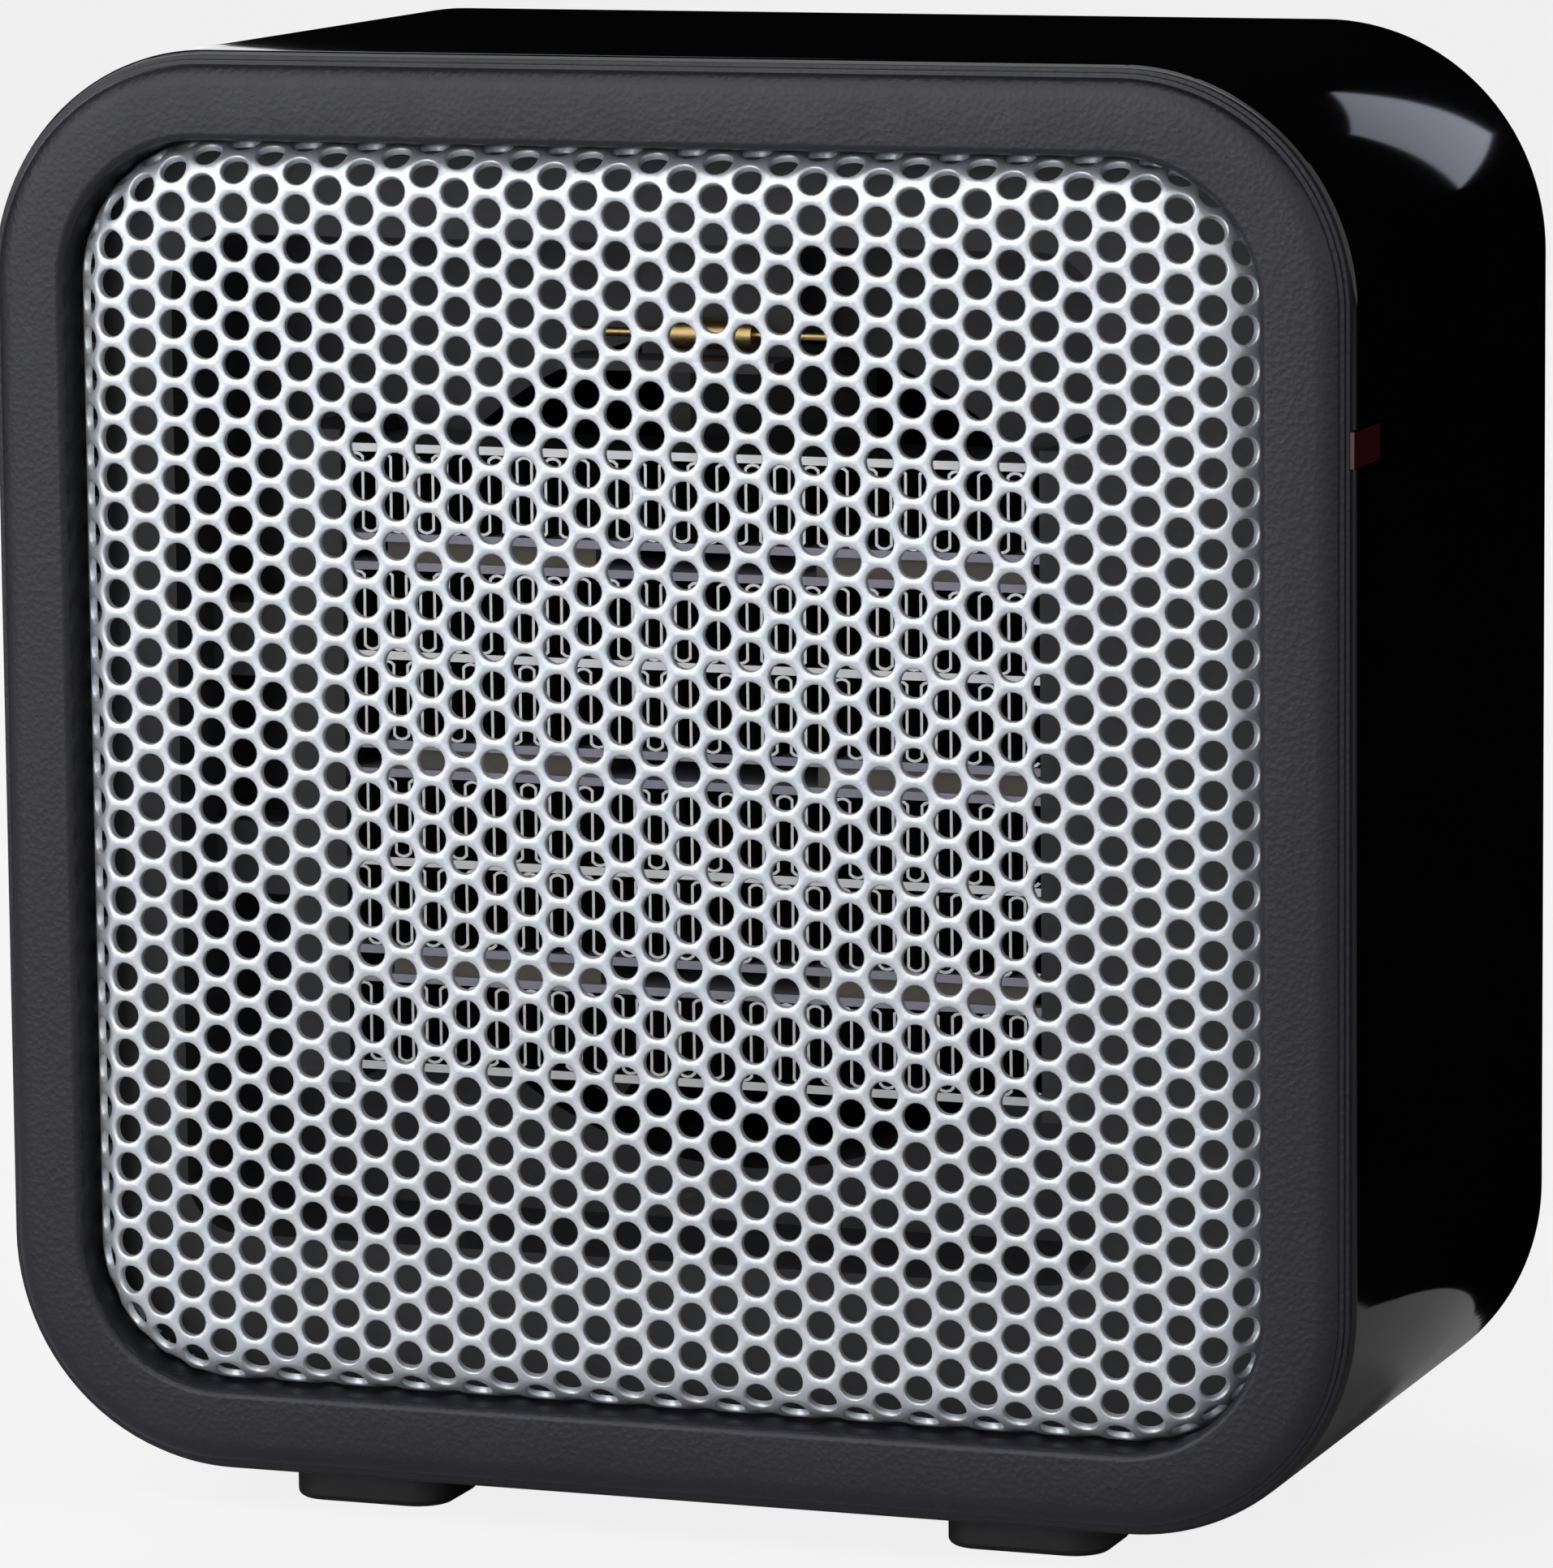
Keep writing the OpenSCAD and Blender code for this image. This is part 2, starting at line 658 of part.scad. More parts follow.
module bearing_bracket(y0, toward_motor) {
    color("#a9acb3") difference() {
        union() {
            translate([axis_x, 0]) slab(y0, y0 + bracket_t) rounded(46, 14, 5);
            for (s = [-1, 1]) rod(axis_x + s * motor_screw_x, 0, 3.5,
                toward_motor > 0 ? y0 : motor_back_y, toward_motor > 0 ? motor_y : y0 + bracket_t);
        }
        for (s = [-1, 1]) rod(axis_x + s * motor_screw_x, 0, clear_r, y0 - 9, y0 + 9);
        rod(axis_x, 0, bush_r + 0.02, y0 - 9, y0 + 9);
    }
}
bush_r = 4.5;
module bearing_bracket_front() { bearing_bracket(bracket_y, 1); }
module bearing_bracket_rear() { bearing_bracket(bracket_back_y, -1); }

module bush(y0, y1, rim_y0, rim_y1) {
    color("#a07c3c") difference() {
        union() {
            rod(axis_x, 0, bush_r, y0, y1);
            rod(axis_x, 0, bush_r + 1, rim_y0, rim_y1);
        }
        rod(axis_x, 0, shaft_d / 2 + shaft_gap, y0 - 1, y1 + 1);
    }
}
module bearing_bush_front() {
    bush(bracket_y - 1, bracket_y + 3.5, bracket_y + bracket_t, bracket_y + 2.5);
}
module bearing_bush_rear() {
    bush(bracket_back_y - 2, bracket_back_y + bracket_t, bracket_back_y - 1, bracket_back_y);
}

module motor_screws() {
    color("silver") for (s = [-1, 1]) translate([axis_x + s * motor_screw_x, bracket_y, mid_z])
        rotate([90, 0, 0]) {
            cylinder(r = head_r, h = 1.4);
            translate([0, 0, bracket_y - cover_face_y + 1]) cylinder(r = screw_r, h = cover_face_y - bracket_y);
        }
}

// ---- rocker switch ----

module rocker_frame() {
    cavity_w = rocker_w + 0.4;
    color("#15151a") difference() {
        union() {
            translate([channel_x, 0]) slab(well_floor_y, well_floor_y + 1.5) translate([0, rocker_z])
                square([well_w - 2 * fit_gap, well_h - 2 * fit_gap], center = true);
            translate([channel_x, 0]) slab(well_floor_y - 14, well_floor_y + 1) translate([0, rocker_z])
                square([rocker_body_w, rocker_body_h], center = true);
        }
        translate([channel_x, 0]) slab(button_pivot_y - 5.6, well_floor_y + 3) translate([0, rocker_z])
            square([cavity_w, rocker_l + 1.8], center = true);
        translate([channel_x, button_pivot_y, mid_z + rocker_z]) rotate([0, 90, 0])
            cylinder(r = 1.1 + shaft_gap, h = rocker_body_w + 1, center = true);
    }
}

// The button rests with its lower end pressed in, which is off
module rocker_button() {
    half = rocker_l / 2;
    color("#1c1c20") translate([channel_x, button_pivot_y, mid_z + rocker_z])
        rotate([-rocker_tilt, 0, 0]) {
            rotate([0, 90, 0]) cylinder(r = 1.1, h = rocker_body_w - 0.2, center = true);
            rotate([90, 0, 90]) translate([0, 0, -rocker_w / 2]) linear_extrude(rocker_w)
                polygon([[-4, -half + 1.8], [4.2, -half], [3.3, 0], [4.2, half], [-4, half - 1.8]]);
        }
}

module switch_terminals() {
    color("#c9b27a") for (z = [-6, 0, 6]) difference() {
        block(channel_x - 2.4, channel_x + 2.4, well_floor_y - 22, well_floor_y - 14,
            rocker_z + z - 0.4, rocker_z + z + 0.4);
        translate([channel_x, well_floor_y - 20, mid_z + rocker_z + z - 1]) cylinder(r = 0.8, h = 2);
    }
}

// ---- cord inlet ----

gland_neck_r = 5.8;
gland_rim = 2;
shelf_t = 7.3;
shelf_z = gland_z - gland_r - 0.2;
clamp_y = cover_spigot_y - 6;
clamp_screw_x = 7;
module cord_gland() {
    color("#18181c") difference() {
        union() {
            rod(channel_x, gland_z, gland_neck_r, cover_face_y - 7, back_y - 0.1);
            rod(channel_x, gland_z, gland_neck_r + gland_rim, cover_face_y - 2, cover_face_y);
        }
        rod(channel_x, gland_z, gland_r, cover_face_y - 8, back_y + 1);
    }
}
module cord_clamp() {
    color("#2e2e34") difference() {
        block(channel_x - 9.5, channel_x + 9.5, clamp_y - 3, clamp_y + 3, shelf_z, gland_z + gland_r + 2);
        rod(channel_x, gland_z, gland_r + 0.1, clamp_y - 4, clamp_y + 4);
        block(channel_x - gland_r - 0.1, channel_x + gland_r + 0.1, clamp_y - 4, clamp_y + 4,
            shelf_z - 1, gland_z);
        for (s = [-1, 1]) translate([channel_x + s * clamp_screw_x, clamp_y, mid_z + shelf_z - 1])
            cylinder(r = clear_r, h = 20);
    }
}
module clamp_screws() {
    top = mid_z + gland_z + gland_r + 2;
    color("silver") for (s = [-1, 1]) translate([channel_x + s * clamp_screw_x, clamp_y, top]) {
        cylinder(r = 2.4, h = 1.5);
        translate([0, 0, -2 * gland_r - 4.5]) cylinder(r = screw_r, h = 2 * gland_r + 5);
    }
}

// ---- tip-over switch ----

tip_z = -14;
tip_y = shroud_y + shroud_t + 11.5;
tip_case_w = 15;
module tip_switch_case() {
    x0 = channel_x - tip_case_w / 2;
    color("#3b3b42") difference() {
        block(x0, x0 + tip_case_w, shroud_y + shroud_t, tip_y + 11.5, tip_z - bob_drop - 6, tip_z + 4);
        block(x0 + 1.5, x0 + tip_case_w - 1.5, tip_y - 10, tip_y + 10, tip_z - bob_drop - 7, tip_z + 2.5);
        translate([channel_x, tip_y, mid_z + tip_z]) rotate([0, 90, 0])
            cylinder(r = 1 + 0.02, h = tip_case_w + 1, center = true);
    }
}
module tip_pivot_pin() {
    color("silver") translate([channel_x, tip_y, mid_z + tip_z]) rotate([0, 90, 0])
        cylinder(r = 1, h = tip_case_w, center = true);
}
module tip_weight() {
    color("#8d9097") translate([channel_x, tip_y, mid_z + tip_z]) difference() {
        union() {
            translate([-4, -1.2, -bob_drop]) cube([8, 2.4, bob_drop]);
            rotate([0, 90, 0]) cylinder(r = 2.2, h = 9, center = true);
            translate([0, 0, -bob_drop]) rotate([0, 90, 0]) cylinder(r = bob_r, h = 10, center = true);
        }
        rotate([0, 90, 0]) cylinder(r = 1 + shaft_gap, h = 12, center = true);
    }
}
module microswitch() {
    color("#22222a") {
        block(channel_x - 6.4, channel_x + 6.4, tip_y - 3, tip_y + 3, tip_z + 4, tip_z + 10.5);
        for (x = [-4, 0, 4]) block(channel_x + x - 0.3, channel_x + x + 0.3, tip_y - 1.5, tip_y + 1.5,
            tip_z + 10, tip_z + 14);
    }
}

// ---- indicator ----

module indicator_lens() {
    half = lens_h / 2;
    inner_x = body_w / 2 - flange_inset + 0.4;
    color("#5a0c10", 0.8) {
        block(inner_x, lens_top, front_y - 0.9, front_y + lens_d, lens_z - half, lens_z + half);
        block(inner_x - 1.5, body_w / 2 - wall - 0.2, front_y + lens_d - 0.5, front_y + lens_d + 4,
            lens_z - half, lens_z + half);
    }
}
module indicator_lamp() {
    color("#d9d2c2") rod(body_w / 2 - wall - 2.2, lens_z, 1.8, front_y + lens_d + 4,
        front_y + lens_d + 16);
}

outer_sleeve();
front_bezel();
rear_cover();
case_screws();
foot_front_left();
foot_front_right();
foot_rear_left();
foot_rear_right();
front_grille();
air_duct();
fan_shroud();
fin_row_1();
fin_row_2();
fin_row_3();
fin_row_4();
fin_row_5();
fin_row_6();
ceramic_stones_top();
ceramic_stones_middle();
ceramic_stones_bottom();
electrode_strips();
spacer_rails();
element_end_left();
element_end_right();
element_terminals();
element_screws();
thermostat_bracket();
thermostat();
thermal_fuse();
fan_blade();
motor_shaft();
rotor_core();
motor_core();
motor_coil();
bearing_bracket_front();
bearing_bracket_rear();
bearing_bush_front();
bearing_bush_rear();
motor_screws();
rocker_frame();
rocker_button();
switch_terminals();
cord_gland();
cord_clamp();
clamp_screws();
dust_screen();
tip_switch_case();
tip_pivot_pin();
tip_weight();
microswitch();
indicator_lens();
indicator_lamp();
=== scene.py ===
# %% [markdown]
# # A small ceramic fan heater
# The heater is a square case with round corners. A gloss sleeve carries a grained bezel, and a
# perforated, rolled steel grille shows the finned element behind it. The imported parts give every
# place and size, so this lesson only shapes skins and finishes around them.

# %% Load the frame
import json
import math
import bpy
import numpy as np
from mathutils import Matrix, Vector


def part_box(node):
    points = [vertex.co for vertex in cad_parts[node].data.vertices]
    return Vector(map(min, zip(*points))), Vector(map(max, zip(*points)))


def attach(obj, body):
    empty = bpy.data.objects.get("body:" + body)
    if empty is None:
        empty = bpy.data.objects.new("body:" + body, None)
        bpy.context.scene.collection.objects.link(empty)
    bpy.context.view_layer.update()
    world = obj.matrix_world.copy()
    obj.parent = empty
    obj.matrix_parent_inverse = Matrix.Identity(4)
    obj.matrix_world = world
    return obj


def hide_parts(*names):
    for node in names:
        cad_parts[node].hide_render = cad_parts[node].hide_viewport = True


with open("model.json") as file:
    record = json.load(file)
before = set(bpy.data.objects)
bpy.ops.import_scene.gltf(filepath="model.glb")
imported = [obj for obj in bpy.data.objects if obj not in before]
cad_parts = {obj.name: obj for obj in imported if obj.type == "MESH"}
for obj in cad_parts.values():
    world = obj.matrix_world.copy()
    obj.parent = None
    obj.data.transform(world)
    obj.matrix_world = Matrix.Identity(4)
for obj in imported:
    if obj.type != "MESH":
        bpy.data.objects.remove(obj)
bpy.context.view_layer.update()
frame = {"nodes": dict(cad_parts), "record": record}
nodes = frame["nodes"]

# %% [markdown]
# ## Camera
# A long lens keeps the case nearly square, as a catalogue view does. The camera stands to the
# right of the front and a little above it, and turns about its own axis by half a degree.

# %% Camera
AZIMUTH, ELEVATION, ROLL = math.radians(19.90), math.radians(8.54), math.radians(0.52)
STAND = Vector((0.3183, -0.8804, 0.2169))
LENS = 198.6
forward = Vector((-math.sin(AZIMUTH) * math.cos(ELEVATION),
                  math.cos(AZIMUTH) * math.cos(ELEVATION), -math.sin(ELEVATION)))
side = Vector((math.cos(AZIMUTH), math.sin(AZIMUTH), 0))
up = side.cross(forward)
turned_side = side * math.cos(ROLL) - up * math.sin(ROLL)
turned_up = up * math.cos(ROLL) + side * math.sin(ROLL)
camera = bpy.data.objects.new("camera", bpy.data.cameras.new("camera"))
bpy.context.scene.collection.objects.link(camera)
camera.data.lens = LENS
camera.data.sensor_width = 36
camera.data.clip_end = 20
camera.matrix_world = Matrix.Translation(STAND) @ Matrix(
    (turned_side, turned_up, -forward)).transposed().to_4x4()
bpy.context.scene.camera = camera
print("camera", STAND, "lens", LENS, "mm")

# %% [markdown]
# ## Sizes taken from the frame
# The skins follow the CAD pieces: the sleeve gives the outline and its depth, the bezel its front,
# and the grille its flat face. Only radii and small steps are written here, in metres.

# %% Sizes
MM = 0.001
sleeve_low, sleeve_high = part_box("outer_sleeve")
bezel_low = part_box("front_bezel")[0]
grille_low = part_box("front_grille")[0]
BODY_W = sleeve_high.x - sleeve_low.x
BODY_H = sleeve_high.z - sleeve_low.z
MID_Z = (sleeve_low.z + sleeve_high.z) / 2
FRONT_Y = sleeve_low.y
LIP_Y = bezel_low.y
RISE = FRONT_Y - LIP_Y
CORNER_R = 25 * MM
WALL = 2.2 * MM
BEZEL_W = 9.4 * MM
GRILLE_INSET = 9.7 * MM
ROLL_R = 5 * MM
GRILLE_Y = grille_low.y
FINS_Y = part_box("fin_row_1")[0].y
SHEET = 0.8 * MM
PITCH = 4.17 * MM
HOLE_R = 1.55 * MM
print("body", BODY_W, BODY_H, "middle", MID_Z, "front", FRONT_Y, "lip", LIP_Y, "grille", GRILLE_Y)

# %% [markdown]
# ## Modelling helpers
# Everything starts selected after an import, and a new primitive is selected all over. So each
# step clears the selection, picks faces or edges by their place, and then runs one operator.

# %% Helpers
def deselect():
    for ob in bpy.context.selected_objects:
        ob.select_set(False)


def activate(ob):
    deselect()
    ob.select_set(True)
    bpy.context.view_layer.objects.active = ob


def modifier(ob, kind, **settings):
    activate(ob)
    m = ob.modifiers.new(kind.lower(), kind)
    for key, value in settings.items():
        setattr(m, key, value)
    bpy.ops.object.modifier_apply(modifier=m.name)


def pick(ob, mode, test):
    """Selects what the test accepts: faces by their polygon, edges by their two ends."""
    bpy.ops.object.mode_set(mode="EDIT")
    bpy.ops.mesh.select_mode(type=mode)
    bpy.ops.mesh.select_all(action="DESELECT")
    bpy.ops.object.mode_set(mode="OBJECT")
    mesh = ob.data
    if mode == "FACE":
        for face in mesh.polygons:
            face.select = bool(test(face))
    else:
        for edge in mesh.edges:
            a, b = (mesh.vertices[i].co for i in edge.vertices)
            edge.select = bool(test(a, b))
    bpy.ops.object.mode_set(mode="EDIT")


def finish_mesh(ob, angle=35):
    """Merges doubles, turns faces outwards and shades the piece smooth up to an angle."""
    activate(ob)
    bpy.ops.object.mode_set(mode="EDIT")
    bpy.ops.mesh.select_all(action="SELECT")
    bpy.ops.mesh.remove_doubles(threshold=1e-6)
    bpy.ops.mesh.normals_make_consistent(inside=False)
    bpy.ops.object.mode_set(mode="OBJECT")
    bpy.ops.object.shade_smooth_by_angle(angle=math.radians(angle))


def rounded_plate(name, w, h, r, y, segments):
    """A face with round corners that looks towards -Y: a plane whose corners are bevelled."""
    deselect()
    bpy.ops.mesh.primitive_plane_add(size=1, location=(0, y, MID_Z),
                                     rotation=(math.pi / 2, 0, 0))
    ob = bpy.context.object
    ob.name = name
    ob.scale = (w, h, 1)
    bpy.ops.object.transform_apply(location=True, rotation=True, scale=True)
    bpy.ops.object.mode_set(mode="EDIT")
    bpy.ops.mesh.select_all(action="SELECT")
    bpy.ops.mesh.bevel(offset=r, segments=segments, affect="VERTICES")
    bpy.ops.mesh.select_mode(type="FACE")
    bpy.ops.mesh.select_all(action="SELECT")
    bpy.ops.object.mode_set(mode="OBJECT")
    return ob


def push(out):
    """Extrudes the selected face towards -Y; a negative distance goes into the case."""
    bpy.ops.mesh.extrude_region_move(TRANSFORM_OT_translate={"value": (0, -out, 0)})


def inset(width, out=0.0):
    """Insets the selected face and lifts it, which gives one sloped ring."""
    bpy.ops.mesh.inset(thickness=width, depth=0, use_even_offset=True)
    if out:
        bpy.ops.transform.translate(value=(0, -out, 0))


print("modelling helpers ready")

# %% [markdown]
# ## Shader maths
# A finish is mostly arithmetic on noise, so a small class wraps a socket and turns Python
# expressions into Math nodes. Any other node comes from one method.

# %% Shader class
class Sig:
    """A socket with arithmetic; what it is given may be a number or another socket."""

    def __init__(self, tree, socket):
        self.tree = tree
        self.socket = socket

    def _math(self, op, other, swap=False):
        node = self.tree.nodes.new("ShaderNodeMath")
        node.operation = op
        pair = (other, self) if swap else (self, other)
        for i, value in enumerate(pair):
            if isinstance(value, Sig):
                self.tree.links.new(value.socket, node.inputs[i])
            elif value is not None:
                node.inputs[i].default_value = value
        return Sig(self.tree, node.outputs[0])

    def __add__(self, o): return self._math("ADD", o)
    def __radd__(self, o): return self._math("ADD", o, True)
    def __sub__(self, o): return self._math("SUBTRACT", o)
    def __rsub__(self, o): return self._math("SUBTRACT", o, True)
    def __mul__(self, o): return self._math("MULTIPLY", o)
    def __rmul__(self, o): return self._math("MULTIPLY", o, True)
    def __gt__(self, o): return self._math("GREATER_THAN", o)


class Finish:
    """One material: its Principled shader, and a method that adds any other node."""

    def __init__(self, name, colour, rough, metal=0.0, **sockets):
        self.mat = bpy.data.materials.new(name)
        self.mat.use_nodes = True
        self.tree = self.mat.node_tree
        self.bsdf = self.tree.nodes["Principled BSDF"]
        self.bsdf.inputs["Base Color"].default_value = (*colour, 1)
        self.bsdf.inputs["Roughness"].default_value = rough
        self.bsdf.inputs["Metallic"].default_value = metal
        for key, value in sockets.items():
            self.bsdf.inputs[key.replace("_", " ")].default_value = value
        coords = self.tree.nodes.new("ShaderNodeTexCoord")
        self.place = Sig(self.tree, coords.outputs["Object"])

    def node(self, kind, settings=None, out=0, **sockets):
        node = self.tree.nodes.new("ShaderNode" + kind)
        for key, value in (settings or {}).items():
            setattr(node, key, value)
        for key, value in sockets.items():
            socket = node.inputs[int(key[1:]) if key[0] == "_" else key.replace("_", " ")]
            if isinstance(value, Sig):
                self.tree.links.new(value.socket, socket)
            else:
                socket.default_value = value
        return Sig(self.tree, node.outputs[out])

    def noise(self, scale, detail=3.0, stretch=(1, 1, 1)):
        spread = self.node("Mapping", Vector=self.place, Scale=stretch)
        return self.node("TexNoise", Vector=spread, Scale=scale, Detail=detail, Roughness=0.5)

    def cells(self, scale):
        return self.node("TexVoronoi", {"feature": "F1"}, Vector=self.place, Scale=scale)

    def shade(self, dark, light, factor):
        """A colour between two, by a factor from 0 to 1."""
        node = self.tree.nodes.new("ShaderNodeMix")
        node.data_type = "RGBA"
        self.tree.links.new(factor.socket, node.inputs["Factor"])
        node.inputs["A"].default_value = (*dark, 1)
        node.inputs["B"].default_value = (*light, 1)
        return Sig(self.tree, node.outputs["Result"])

    def feed(self, socket, signal):
        self.tree.links.new(signal.socket, self.bsdf.inputs[socket])
        return self

    def bump(self, height, depth, strength=1.0):
        relief = self.node("Bump", Height=height, Distance=depth, Strength=strength)
        return self.feed("Normal", relief)


def wear(fin, colour, amount=0.12):
    """Slow, faint change of tone, so that no surface is one flat colour."""
    dark = tuple(c * (1 - amount) for c in colour)
    light = tuple(min(1, c * (1 + amount)) for c in colour)
    return fin.feed("Base Color", fin.shade(dark, light, fin.noise(60, 4)))


print("shader class ready")

# %% [markdown]
# ## Finishes of the case
# The sleeve is moulded in a polished tool: near black, with a clear gloss and a hardly visible
# waviness. The bezel comes from an etched tool, and its fine leather grain softens the light.

# %% Case finishes
GLOSS_BLACK = (0.0035, 0.0035, 0.0045)
gloss = Finish("polished_black", GLOSS_BLACK, 0.06, Specular_IOR_Level=0.5)
wear(gloss, GLOSS_BLACK, 0.2)
gloss.feed("Roughness", gloss.noise(35, 4) * 0.05 + 0.035)
gloss.bump(gloss.noise(22, 1), 0.00006, 0.35)

GRAIN_BLACK = (0.016, 0.016, 0.023)
grain = Finish("grained_black", GRAIN_BLACK, 0.46, Specular_IOR_Level=0.42)
wear(grain, GRAIN_BLACK, 0.18)
skin = grain.cells(1500) * 0.6 + grain.noise(2600, 3) * 0.5
grain.feed("Roughness", (grain.noise(180, 4) * 0.16 + 0.34))
grain.bump(skin, 0.00012, 0.55)

REAR_BLACK = (0.012, 0.012, 0.014)
rear = Finish("spark_textured_black", REAR_BLACK, 0.55)
wear(rear, REAR_BLACK, 0.2)
rear.feed("Roughness", rear.noise(300, 4) * 0.2 + 0.42)
rear.bump(rear.noise(1800, 4), 0.00012, 0.5)

DUCT_GREY = (0.042, 0.042, 0.049)
duct = Finish("duct_grey", DUCT_GREY, 0.5)
wear(duct, DUCT_GREY, 0.2)
duct.feed("Roughness", duct.noise(240, 3) * 0.2 + 0.4)
duct.bump(duct.noise(1400, 3), 0.0001, 0.4)

RUBBER = (0.012, 0.012, 0.013)
rubber = Finish("black_rubber", RUBBER, 0.7)
wear(rubber, RUBBER, 0.3)
rubber.feed("Roughness", rubber.noise(400, 4) * 0.2 + 0.55)
rubber.bump(rubber.noise(900, 4), 0.00008, 0.6)

SWITCH_BLACK = (0.008, 0.008, 0.009)
switch = Finish("switch_black", SWITCH_BLACK, 0.25)
wear(switch, SWITCH_BLACK, 0.2)
switch.feed("Roughness", switch.noise(500, 3) * 0.14 + 0.2)
switch.bump(switch.noise(1600, 2), 0.00004, 0.3)
print("case finishes made")

# %% [markdown]
# ## Finishes of the metals
# The grille is silver paint on steel: part metallic, with a faint orange peel. The fins are thin
# strip, drawn along their length. Their cut front edges keep the bright metal colour, and their sides
# get painted shade, a dark colour for the shade they lie in; the depth along Y picks the colour. The
# small parts are zinc, brass and copper.

# %% Metal finishes
SILVER = (0.72, 0.745, 0.80)
paint = Finish("silver_paint", SILVER, 0.38, 0.55)
wear(paint, SILVER, 0.04)
paint.feed("Roughness", paint.noise(900, 4) * 0.14 + 0.30)
paint.bump(paint.noise(2200, 2), 0.00005, 0.45)


def metal(name, colour, rough, metallic=1.0, grain_scale=500, stretch=(1, 1, 1), depth=0.00003):
    fin = Finish(name, colour, rough, metallic)
    wear(fin, colour, 0.08)
    lines = fin.noise(grain_scale, 4, stretch)
    fin.feed("Roughness", lines * 0.2 + (rough - 0.1))
    return fin.bump(lines, depth, 0.5)


fins = metal("bright_aluminium", (0.90, 0.91, 0.93), 0.32, 0.75, 700, (1, 8, 1))
# Painted shade: the fin sides take FIN_SHADE, a dark colour that stands for the shade between the
# fins; only the front edge keeps the metal's own bright colour.
FIN_SHADE, FIN_EDGE = (0.10, 0.10, 0.11), (0.92, 0.93, 0.95)
EDGE_DEPTH = 0.02 * MM
depth_in = fins.node("SeparateXYZ", Vector=fins.place, out=1)
front_edge = FINS_Y + EDGE_DEPTH - depth_in > 0.0
fins.feed("Base Color", fins.shade(FIN_SHADE, FIN_EDGE, front_edge))
electrode = metal("dull_aluminium", (0.42, 0.42, 0.50), 0.45, 0.5, 500, (1, 6, 6))
steel = metal("zinc_steel", (0.62, 0.63, 0.66), 0.35, 0.9, 600)
laminate = metal("laminated_steel", (0.30, 0.30, 0.32), 0.5, 0.8, 300, (1, 12, 1))
brass = metal("brass", (0.70, 0.50, 0.20), 0.3, 0.95, 600)
copper = metal("varnished_copper", (0.48, 0.20, 0.07), 0.35, 0.7, 200, (8, 1, 1), 0.0002)

CERAMIC = (0.21, 0.185, 0.15)
ceramic = Finish("fired_ceramic", CERAMIC, 0.7)
wear(ceramic, CERAMIC, 0.15)
ceramic.feed("Roughness", ceramic.noise(500, 4) * 0.2 + 0.55)
ceramic.bump(ceramic.noise(1500, 5), 0.00008, 0.5)

# The fan is made near black so that the cavity seen above the element stays dark: partly the
# plastic's own colour, partly painted shade.
FAN_BLACK = (0.02, 0.02, 0.023)
fan_black = Finish("dark_fan_plastic", FAN_BLACK, 0.45)
wear(fan_black, FAN_BLACK, 0.1)
fan_black.feed("Roughness", fan_black.noise(300, 3) * 0.15 + 0.38)
fan_black.bump(fan_black.noise(900, 2), 0.00005, 0.3)

RED = (0.075, 0.012, 0.016)
red = Finish("dark_red_window", RED, 0.12, Coat_Weight=0.4)
wear(red, RED, 0.2)
red.feed("Roughness", red.noise(400, 3) * 0.08 + 0.08)
red.bump(red.noise(900, 2), 0.00003, 0.3)

# The screen cloth is a near-black sheet at the intake that keeps the inside of the case dark: partly
# a dust screen, partly a dark sheet put in as painted shade.
CLOTH = (0.006, 0.006, 0.007)
cloth = Finish("screen_cloth", CLOTH, 0.85, Specular_IOR_Level=0.2)
wear(cloth, CLOTH, 0.3)
cloth.feed("Roughness", cloth.noise(700, 3) * 0.15 + 0.75)
cloth.bump(cloth.noise(2500, 2), 0.0001, 0.6)

GLASS = (0.75, 0.68, 0.60)
lamp = Finish("neon_glass", GLASS, 0.1)
wear(lamp, GLASS, 0.08)
lamp.feed("Roughness", lamp.noise(500, 2) * 0.06 + 0.05)
print("metal finishes made")

# %% [markdown]
# ## Finishes on the parts
# The record names a slot for every part, so one table of slots dresses them all. Two small parts
# above the element sit in deep shade on the real heater, so they take darker finishes as painted
# shade.

# %% Finishes on the CAD parts
by_slot = {"gloss_case": gloss, "grained_bezel": grain, "rear_plastic": rear, "grille_paint": paint,
           "duct_plastic": duct, "fin_aluminium": fins, "ceramic": ceramic, "electrode": electrode,
           "steel": steel, "motor_steel": laminate, "copper_coil": copper, "brass": brass,
           "rubber": rubber, "fan_plastic": fan_black, "switch_plastic": switch, "indicator_red": red,
           "lamp_glass": lamp, "screen_cloth": cloth}
# Painted shade: the thermostat and its bracket get darker finishes for the shade above the element.
painted_shade_by_node = {"thermostat_bracket": duct, "thermostat": electrode}
for part in frame["record"]["subparts"]:
    ob = nodes[part["node"]]
    finish = painted_shade_by_node.get(part["node"], by_slot[part["material_slot"]])
    if not ob.material_slots:
        ob.data.materials.append(finish.mat)
    for slot in ob.material_slots:
        slot.material = finish.mat
print("finishes given to", len(nodes), "parts")


def dress(ob, finish, slot, body, *replaced):
    """Gives a new piece its finish, its body and the CAD parts it stands for."""
    ob.data.materials.clear()
    ob.data.materials.append(finish.mat)
    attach(ob, body)
    if replaced:
        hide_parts(*replaced)
    print(ob.name, "faces", len(ob.data.polygons))

# %% [markdown]
# ## Sleeve
# The sleeve is one thin-walled tube with soft edges. A face with round corners is pushed back
# through the depth, both caps are taken off, and Solidify and Bevel give the wall and its edges.
# A box then cuts the notch that holds the indicator window.

